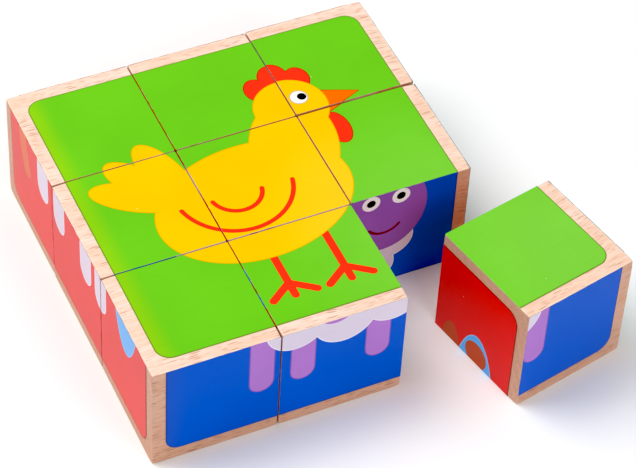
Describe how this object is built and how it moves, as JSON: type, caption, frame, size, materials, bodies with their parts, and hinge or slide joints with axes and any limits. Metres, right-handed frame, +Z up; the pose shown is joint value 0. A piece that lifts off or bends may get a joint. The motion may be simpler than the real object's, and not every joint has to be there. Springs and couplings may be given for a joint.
{
  "type": "picture cube puzzle",
  "caption": "Wooden picture-cube puzzle: loose beech cubes in a square, a farm animal picture on each way up, with one corner cube pushed out beside it.",
  "frame": {"origin": "middle of the centre block's underside, on the surface that the blocks stand on", "axes": "+Z up out of the top picture, +X to the right along the front of the square, +Y to its back"},
  "size_m": [0.1483, 0.1414, 0.04],
  "materials": {
    "beech": "sanded beech, bare, with a light satin seal",
    "green_picture": "printed film with a satin varnish, green ground",
    "blue_picture": "printed film with a satin varnish, blue ground",
    "side_pictures": "printed film with a satin varnish, red ground on the left and turquoise on the right",
    "orange_picture": "printed film with a satin varnish, orange ground",
    "yellow_picture": "printed film with a satin varnish, yellow ground"
  },
  "bodies": {
    "back_left_block": {"back_left_wood": "beech", "back_left_top_print": "green_picture", "back_left_base_print": "yellow_picture", "back_left_front_print": "blue_picture", "back_left_back_print": "orange_picture", "back_left_side_prints": "side_pictures"},
    "back_middle_block": {"back_middle_wood": "beech", "back_middle_top_print": "green_picture", "back_middle_base_print": "yellow_picture", "back_middle_front_print": "blue_picture", "back_middle_back_print": "orange_picture", "back_middle_side_prints": "side_pictures"},
    "back_right_block": {"back_right_wood": "beech", "back_right_top_print": "green_picture", "back_right_base_print": "yellow_picture", "back_right_front_print": "blue_picture", "back_right_back_print": "orange_picture", "back_right_side_prints": "side_pictures"},
    "middle_left_block": {"middle_left_wood": "beech", "middle_left_top_print": "green_picture", "middle_left_base_print": "yellow_picture", "middle_left_front_print": "blue_picture", "middle_left_back_print": "orange_picture", "middle_left_side_prints": "side_pictures"},
    "centre_block": {"centre_wood": "beech", "centre_top_print": "green_picture", "centre_base_print": "yellow_picture", "centre_front_print": "blue_picture", "centre_back_print": "orange_picture", "centre_side_prints": "side_pictures"},
    "middle_right_block": {"middle_right_wood": "beech", "middle_right_top_print": "green_picture", "middle_right_base_print": "yellow_picture", "middle_right_front_print": "blue_picture", "middle_right_back_print": "orange_picture", "middle_right_side_prints": "side_pictures"},
    "front_left_block": {"front_left_wood": "beech", "front_left_top_print": "green_picture", "front_left_base_print": "yellow_picture", "front_left_front_print": "blue_picture", "front_left_back_print": "orange_picture", "front_left_side_prints": "side_pictures"},
    "front_middle_block": {"front_middle_wood": "beech", "front_middle_top_print": "green_picture", "front_middle_base_print": "yellow_picture", "front_middle_front_print": "blue_picture", "front_middle_back_print": "orange_picture", "front_middle_side_prints": "side_pictures"},
    "front_right_block": {"front_right_wood": "beech", "front_right_top_print": "green_picture", "front_right_base_print": "yellow_picture", "front_right_front_print": "blue_picture", "front_right_back_print": "orange_picture", "front_right_side_prints": "side_pictures"}
  },
  "joints": [
    {"name": "back_left_lift", "type": "slide", "parent": "centre_block", "child": "back_left_block", "axis": [0, 0, 1], "range_m": [0, 0.06]},
    {"name": "back_middle_lift", "type": "slide", "parent": "centre_block", "child": "back_middle_block", "axis": [0, 0, 1], "range_m": [0, 0.06]},
    {"name": "back_right_lift", "type": "slide", "parent": "centre_block", "child": "back_right_block", "axis": [0, 0, 1], "range_m": [0, 0.06]},
    {"name": "middle_left_lift", "type": "slide", "parent": "centre_block", "child": "middle_left_block", "axis": [0, 0, 1], "range_m": [0, 0.06]},
    {"name": "middle_right_lift", "type": "slide", "parent": "centre_block", "child": "middle_right_block", "axis": [0, 0, 1], "range_m": [0, 0.06]},
    {"name": "front_left_lift", "type": "slide", "parent": "centre_block", "child": "front_left_block", "axis": [0, 0, 1], "range_m": [0, 0.06]},
    {"name": "front_middle_lift", "type": "slide", "parent": "centre_block", "child": "front_middle_block", "axis": [0, 0, 1], "range_m": [0, 0.06]},
    {"name": "front_right_push_home", "type": "hinge", "parent": "centre_block", "child": "front_right_block", "pos_m": [0.13113, 0.06556, 0], "axis": [0, 0, 1], "range_deg": [-12.1, 0]}
  ]
}
